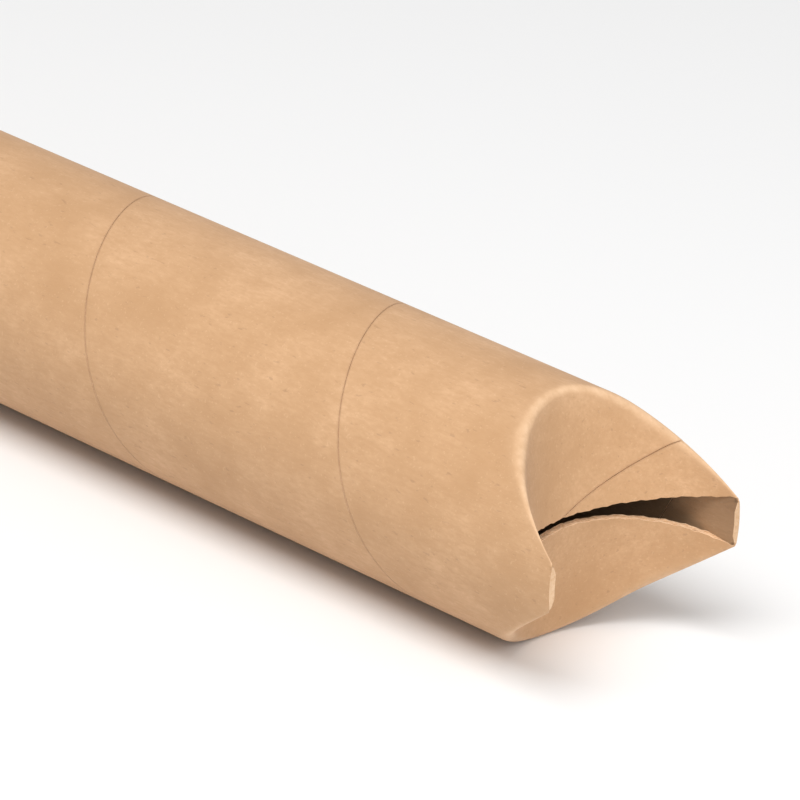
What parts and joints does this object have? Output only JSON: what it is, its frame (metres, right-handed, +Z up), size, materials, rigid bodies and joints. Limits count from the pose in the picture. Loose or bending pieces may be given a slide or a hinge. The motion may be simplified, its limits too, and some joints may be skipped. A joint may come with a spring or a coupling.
{
  "type": "drawing tube",
  "caption": "Spiral-wound kraft paper tube for rolled drawings, with both ends closed by curved flaps that push in to lock and pull out to open.",
  "frame": {"origin": "on the ground plane, under the middle of the tube's length", "axes": "+X along the tube towards the front closed end, +Z up; the closures' folded flaps are above and below the axis"},
  "size_m": [0.61, 0.0538, 0.0538],
  "materials": {
    "kraft_liner": "unbleached kraft paper, matte, fine fibre flecks",
    "core_board": "grey-brown chipboard, matte",
    "folded_board": "unbleached kraft paper over board, matte"
  },
  "bodies": {
    "tube": {"outer_wrap": "kraft_liner", "core_ply_outer": "core_board", "core_ply_inner": "core_board", "inner_liner": "kraft_liner"},
    "front_top_stave_05": {"front_top_stave_05": "folded_board"},
    "front_top_stave_01": {"front_top_stave_01": "folded_board"},
    "front_top_stave_02": {"front_top_stave_02": "folded_board"},
    "front_top_stave_03": {"front_top_stave_03": "folded_board"},
    "front_top_stave_04": {"front_top_stave_04": "folded_board"},
    "front_top_stave_06": {"front_top_stave_06": "folded_board"},
    "front_top_stave_07": {"front_top_stave_07": "folded_board"},
    "front_top_stave_08": {"front_top_stave_08": "folded_board"},
    "front_top_stave_09": {"front_top_stave_09": "folded_board"},
    "front_bottom_stave_05": {"front_bottom_stave_05": "folded_board"},
    "front_bottom_stave_01": {"front_bottom_stave_01": "folded_board"},
    "front_bottom_stave_02": {"front_bottom_stave_02": "folded_board"},
    "front_bottom_stave_03": {"front_bottom_stave_03": "folded_board"},
    "front_bottom_stave_04": {"front_bottom_stave_04": "folded_board"},
    "front_bottom_stave_06": {"front_bottom_stave_06": "folded_board"},
    "front_bottom_stave_07": {"front_bottom_stave_07": "folded_board"},
    "front_bottom_stave_08": {"front_bottom_stave_08": "folded_board"},
    "front_bottom_stave_09": {"front_bottom_stave_09": "folded_board"},
    "back_top_stave_05": {"back_top_stave_05": "folded_board"},
    "back_top_stave_01": {"back_top_stave_01": "folded_board"},
    "back_top_stave_02": {"back_top_stave_02": "folded_board"},
    "back_top_stave_03": {"back_top_stave_03": "folded_board"},
    "back_top_stave_04": {"back_top_stave_04": "folded_board"},
    "back_top_stave_06": {"back_top_stave_06": "folded_board"},
    "back_top_stave_07": {"back_top_stave_07": "folded_board"},
    "back_top_stave_08": {"back_top_stave_08": "folded_board"},
    "back_top_stave_09": {"back_top_stave_09": "folded_board"},
    "back_bottom_stave_05": {"back_bottom_stave_05": "folded_board"},
    "back_bottom_stave_01": {"back_bottom_stave_01": "folded_board"},
    "back_bottom_stave_02": {"back_bottom_stave_02": "folded_board"},
    "back_bottom_stave_03": {"back_bottom_stave_03": "folded_board"},
    "back_bottom_stave_04": {"back_bottom_stave_04": "folded_board"},
    "back_bottom_stave_06": {"back_bottom_stave_06": "folded_board"},
    "back_bottom_stave_07": {"back_bottom_stave_07": "folded_board"},
    "back_bottom_stave_08": {"back_bottom_stave_08": "folded_board"},
    "back_bottom_stave_09": {"back_bottom_stave_09": "folded_board"}
  },
  "joints": [
    {"name": "front_top_fold_05", "type": "hinge", "parent": "tube", "child": "front_top_stave_05", "pos_m": [0.27942, 0, 0.05385], "axis": [0, -1, 0], "range_deg": [0, 80.08], "deforming": ["front_top_stave_05"]},
    {"name": "front_top_fold_01", "type": "hinge", "parent": "tube", "child": "front_top_stave_01", "pos_m": [0.30032, 0.02524, 0.03628], "axis": [-0.7447, -0.232, 0.6258], "range_deg": [0, 149.13], "deforming": ["front_top_stave_01"]},
    {"name": "front_top_fold_02", "type": "hinge", "parent": "tube", "child": "front_top_stave_02", "pos_m": [0.29184, 0.02129, 0.04341], "axis": [-0.6852, -0.446, 0.5758], "range_deg": [0, 124.09], "deforming": ["front_top_stave_02"]},
    {"name": "front_top_fold_03", "type": "hinge", "parent": "tube", "child": "front_top_stave_03", "pos_m": [0.28516, 0.01538, 0.04902], "axis": [-0.5621, -0.6789, 0.4724], "range_deg": [0, 102.13], "deforming": ["front_top_stave_03"]},
    {"name": "front_top_fold_04", "type": "hinge", "parent": "tube", "child": "front_top_stave_04", "pos_m": [0.28089, 0.00806, 0.05261], "axis": [-0.3355, -0.8989, 0.2819], "range_deg": [0, 86.15], "deforming": ["front_top_stave_04"]},
    {"name": "front_top_fold_06", "type": "hinge", "parent": "tube", "child": "front_top_stave_06", "pos_m": [0.28089, -0.00806, 0.05261], "axis": [0.3355, -0.8989, -0.2819], "range_deg": [0, 86.15], "deforming": ["front_top_stave_06"]},
    {"name": "front_top_fold_07", "type": "hinge", "parent": "tube", "child": "front_top_stave_07", "pos_m": [0.28516, -0.01538, 0.04902], "axis": [0.5621, -0.6789, -0.4724], "range_deg": [0, 102.13], "deforming": ["front_top_stave_07"]},
    {"name": "front_top_fold_08", "type": "hinge", "parent": "tube", "child": "front_top_stave_08", "pos_m": [0.29184, -0.02129, 0.04341], "axis": [0.6852, -0.446, -0.5758], "range_deg": [0, 124.09], "deforming": ["front_top_stave_08"]},
    {"name": "front_top_fold_09", "type": "hinge", "parent": "tube", "child": "front_top_stave_09", "pos_m": [0.30032, -0.02524, 0.03628], "axis": [0.7447, -0.232, -0.6258], "range_deg": [0, 149.13], "deforming": ["front_top_stave_09"]},
    {"name": "front_bottom_fold_05", "type": "hinge", "parent": "tube", "child": "front_bottom_stave_05", "pos_m": [0.27942, 0, 0], "axis": [0, 1, 0], "range_deg": [0, 80.08], "deforming": ["front_bottom_stave_05"]},
    {"name": "front_bottom_fold_01", "type": "hinge", "parent": "tube", "child": "front_bottom_stave_01", "pos_m": [0.30032, 0.02524, 0.01756], "axis": [0.7447, 0.232, 0.6258], "range_deg": [0, 149.13], "deforming": ["front_bottom_stave_01"]},
    {"name": "front_bottom_fold_02", "type": "hinge", "parent": "tube", "child": "front_bottom_stave_02", "pos_m": [0.29184, 0.02129, 0.01044], "axis": [0.6852, 0.446, 0.5758], "range_deg": [0, 124.09], "deforming": ["front_bottom_stave_02"]},
    {"name": "front_bottom_fold_03", "type": "hinge", "parent": "tube", "child": "front_bottom_stave_03", "pos_m": [0.28516, 0.01538, 0.00482], "axis": [0.5621, 0.6789, 0.4724], "range_deg": [0, 102.13], "deforming": ["front_bottom_stave_03"]},
    {"name": "front_bottom_fold_04", "type": "hinge", "parent": "tube", "child": "front_bottom_stave_04", "pos_m": [0.28089, 0.00806, 0.00123], "axis": [0.3355, 0.8989, 0.2819], "range_deg": [0, 86.15], "deforming": ["front_bottom_stave_04"]},
    {"name": "front_bottom_fold_06", "type": "hinge", "parent": "tube", "child": "front_bottom_stave_06", "pos_m": [0.28089, -0.00806, 0.00123], "axis": [-0.3355, 0.8989, -0.2819], "range_deg": [0, 86.15], "deforming": ["front_bottom_stave_06"]},
    {"name": "front_bottom_fold_07", "type": "hinge", "parent": "tube", "child": "front_bottom_stave_07", "pos_m": [0.28516, -0.01538, 0.00482], "axis": [-0.5621, 0.6789, -0.4724], "range_deg": [0, 102.13], "deforming": ["front_bottom_stave_07"]},
    {"name": "front_bottom_fold_08", "type": "hinge", "parent": "tube", "child": "front_bottom_stave_08", "pos_m": [0.29184, -0.02129, 0.01044], "axis": [-0.6852, 0.446, -0.5758], "range_deg": [0, 124.09], "deforming": ["front_bottom_stave_08"]},
    {"name": "front_bottom_fold_09", "type": "hinge", "parent": "tube", "child": "front_bottom_stave_09", "pos_m": [0.30032, -0.02524, 0.01756], "axis": [-0.7447, 0.232, -0.6258], "range_deg": [0, 149.13], "deforming": ["front_bottom_stave_09"]},
    {"name": "back_top_fold_05", "type": "hinge", "parent": "tube", "child": "back_top_stave_05", "pos_m": [-0.27942, 0, 0.05385], "axis": [0, 1, 0], "range_deg": [0, 80.08], "deforming": ["back_top_stave_05"]},
    {"name": "back_top_fold_01", "type": "hinge", "parent": "tube", "child": "back_top_stave_01", "pos_m": [-0.30032, 0.02524, 0.03628], "axis": [-0.7447, 0.232, -0.6258], "range_deg": [0, 149.13], "deforming": ["back_top_stave_01"]},
    {"name": "back_top_fold_02", "type": "hinge", "parent": "tube", "child": "back_top_stave_02", "pos_m": [-0.29184, 0.02129, 0.04341], "axis": [-0.6852, 0.446, -0.5758], "range_deg": [0, 124.09], "deforming": ["back_top_stave_02"]},
    {"name": "back_top_fold_03", "type": "hinge", "parent": "tube", "child": "back_top_stave_03", "pos_m": [-0.28516, 0.01538, 0.04902], "axis": [-0.5621, 0.6789, -0.4724], "range_deg": [0, 102.13], "deforming": ["back_top_stave_03"]},
    {"name": "back_top_fold_04", "type": "hinge", "parent": "tube", "child": "back_top_stave_04", "pos_m": [-0.28089, 0.00806, 0.05261], "axis": [-0.3355, 0.8989, -0.2819], "range_deg": [0, 86.15], "deforming": ["back_top_stave_04"]},
    {"name": "back_top_fold_06", "type": "hinge", "parent": "tube", "child": "back_top_stave_06", "pos_m": [-0.28089, -0.00806, 0.05261], "axis": [0.3355, 0.8989, 0.2819], "range_deg": [0, 86.15], "deforming": ["back_top_stave_06"]},
    {"name": "back_top_fold_07", "type": "hinge", "parent": "tube", "child": "back_top_stave_07", "pos_m": [-0.28516, -0.01538, 0.04902], "axis": [0.5621, 0.6789, 0.4724], "range_deg": [0, 102.13], "deforming": ["back_top_stave_07"]},
    {"name": "back_top_fold_08", "type": "hinge", "parent": "tube", "child": "back_top_stave_08", "pos_m": [-0.29184, -0.02129, 0.04341], "axis": [0.6852, 0.446, 0.5758], "range_deg": [0, 124.09], "deforming": ["back_top_stave_08"]},
    {"name": "back_top_fold_09", "type": "hinge", "parent": "tube", "child": "back_top_stave_09", "pos_m": [-0.30032, -0.02524, 0.03628], "axis": [0.7447, 0.232, 0.6258], "range_deg": [0, 149.13], "deforming": ["back_top_stave_09"]},
    {"name": "back_bottom_fold_05", "type": "hinge", "parent": "tube", "child": "back_bottom_stave_05", "pos_m": [-0.27942, 0, 0], "axis": [0, -1, 0], "range_deg": [0, 80.08], "deforming": ["back_bottom_stave_05"]},
    {"name": "back_bottom_fold_01", "type": "hinge", "parent": "tube", "child": "back_bottom_stave_01", "pos_m": [-0.30032, 0.02524, 0.01756], "axis": [0.7447, -0.232, -0.6258], "range_deg": [0, 149.13], "deforming": ["back_bottom_stave_01"]},
    {"name": "back_bottom_fold_02", "type": "hinge", "parent": "tube", "child": "back_bottom_stave_02", "pos_m": [-0.29184, 0.02129, 0.01044], "axis": [0.6852, -0.446, -0.5758], "range_deg": [0, 124.09], "deforming": ["back_bottom_stave_02"]},
    {"name": "back_bottom_fold_03", "type": "hinge", "parent": "tube", "child": "back_bottom_stave_03", "pos_m": [-0.28516, 0.01538, 0.00482], "axis": [0.5621, -0.6789, -0.4724], "range_deg": [0, 102.13], "deforming": ["back_bottom_stave_03"]},
    {"name": "back_bottom_fold_04", "type": "hinge", "parent": "tube", "child": "back_bottom_stave_04", "pos_m": [-0.28089, 0.00806, 0.00123], "axis": [0.3355, -0.8989, -0.2819], "range_deg": [0, 86.15], "deforming": ["back_bottom_stave_04"]},
    {"name": "back_bottom_fold_06", "type": "hinge", "parent": "tube", "child": "back_bottom_stave_06", "pos_m": [-0.28089, -0.00806, 0.00123], "axis": [-0.3355, -0.8989, 0.2819], "range_deg": [0, 86.15], "deforming": ["back_bottom_stave_06"]},
    {"name": "back_bottom_fold_07", "type": "hinge", "parent": "tube", "child": "back_bottom_stave_07", "pos_m": [-0.28516, -0.01538, 0.00482], "axis": [-0.5621, -0.6789, 0.4724], "range_deg": [0, 102.13], "deforming": ["back_bottom_stave_07"]},
    {"name": "back_bottom_fold_08", "type": "hinge", "parent": "tube", "child": "back_bottom_stave_08", "pos_m": [-0.29184, -0.02129, 0.01044], "axis": [-0.6852, -0.446, 0.5758], "range_deg": [0, 124.09], "deforming": ["back_bottom_stave_08"]},
    {"name": "back_bottom_fold_09", "type": "hinge", "parent": "tube", "child": "back_bottom_stave_09", "pos_m": [-0.30032, -0.02524, 0.01756], "axis": [-0.7447, -0.232, 0.6258], "range_deg": [0, 149.13], "deforming": ["back_bottom_stave_09"]}
  ],
  "couplings": [
    {"joint": "front_top_fold_01", "follows": "front_top_fold_05", "ratio": 1.8622},
    {"joint": "front_top_fold_02", "follows": "front_top_fold_05", "ratio": 1.5495},
    {"joint": "front_top_fold_03", "follows": "front_top_fold_05", "ratio": 1.2753},
    {"joint": "front_top_fold_04", "follows": "front_top_fold_05", "ratio": 1.0757},
    {"joint": "front_top_fold_06", "follows": "front_top_fold_05", "ratio": 1.0757},
    {"joint": "front_top_fold_07", "follows": "front_top_fold_05", "ratio": 1.2753},
    {"joint": "front_top_fold_08", "follows": "front_top_fold_05", "ratio": 1.5495},
    {"joint": "front_top_fold_09", "follows": "front_top_fold_05", "ratio": 1.8622},
    {"joint": "front_bottom_fold_01", "follows": "front_bottom_fold_05", "ratio": 1.8622},
    {"joint": "front_bottom_fold_02", "follows": "front_bottom_fold_05", "ratio": 1.5495},
    {"joint": "front_bottom_fold_03", "follows": "front_bottom_fold_05", "ratio": 1.2753},
    {"joint": "front_bottom_fold_04", "follows": "front_bottom_fold_05", "ratio": 1.0757},
    {"joint": "front_bottom_fold_06", "follows": "front_bottom_fold_05", "ratio": 1.0757},
    {"joint": "front_bottom_fold_07", "follows": "front_bottom_fold_05", "ratio": 1.2753},
    {"joint": "front_bottom_fold_08", "follows": "front_bottom_fold_05", "ratio": 1.5495},
    {"joint": "front_bottom_fold_09", "follows": "front_bottom_fold_05", "ratio": 1.8622},
    {"joint": "back_top_fold_01", "follows": "back_top_fold_05", "ratio": 1.8622},
    {"joint": "back_top_fold_02", "follows": "back_top_fold_05", "ratio": 1.5495},
    {"joint": "back_top_fold_03", "follows": "back_top_fold_05", "ratio": 1.2753},
    {"joint": "back_top_fold_04", "follows": "back_top_fold_05", "ratio": 1.0757},
    {"joint": "back_top_fold_06", "follows": "back_top_fold_05", "ratio": 1.0757},
    {"joint": "back_top_fold_07", "follows": "back_top_fold_05", "ratio": 1.2753},
    {"joint": "back_top_fold_08", "follows": "back_top_fold_05", "ratio": 1.5495},
    {"joint": "back_top_fold_09", "follows": "back_top_fold_05", "ratio": 1.8622},
    {"joint": "back_bottom_fold_01", "follows": "back_bottom_fold_05", "ratio": 1.8622},
    {"joint": "back_bottom_fold_02", "follows": "back_bottom_fold_05", "ratio": 1.5495},
    {"joint": "back_bottom_fold_03", "follows": "back_bottom_fold_05", "ratio": 1.2753},
    {"joint": "back_bottom_fold_04", "follows": "back_bottom_fold_05", "ratio": 1.0757},
    {"joint": "back_bottom_fold_06", "follows": "back_bottom_fold_05", "ratio": 1.0757},
    {"joint": "back_bottom_fold_07", "follows": "back_bottom_fold_05", "ratio": 1.2753},
    {"joint": "back_bottom_fold_08", "follows": "back_bottom_fold_05", "ratio": 1.5495},
    {"joint": "back_bottom_fold_09", "follows": "back_bottom_fold_05", "ratio": 1.8622}
  ]
}
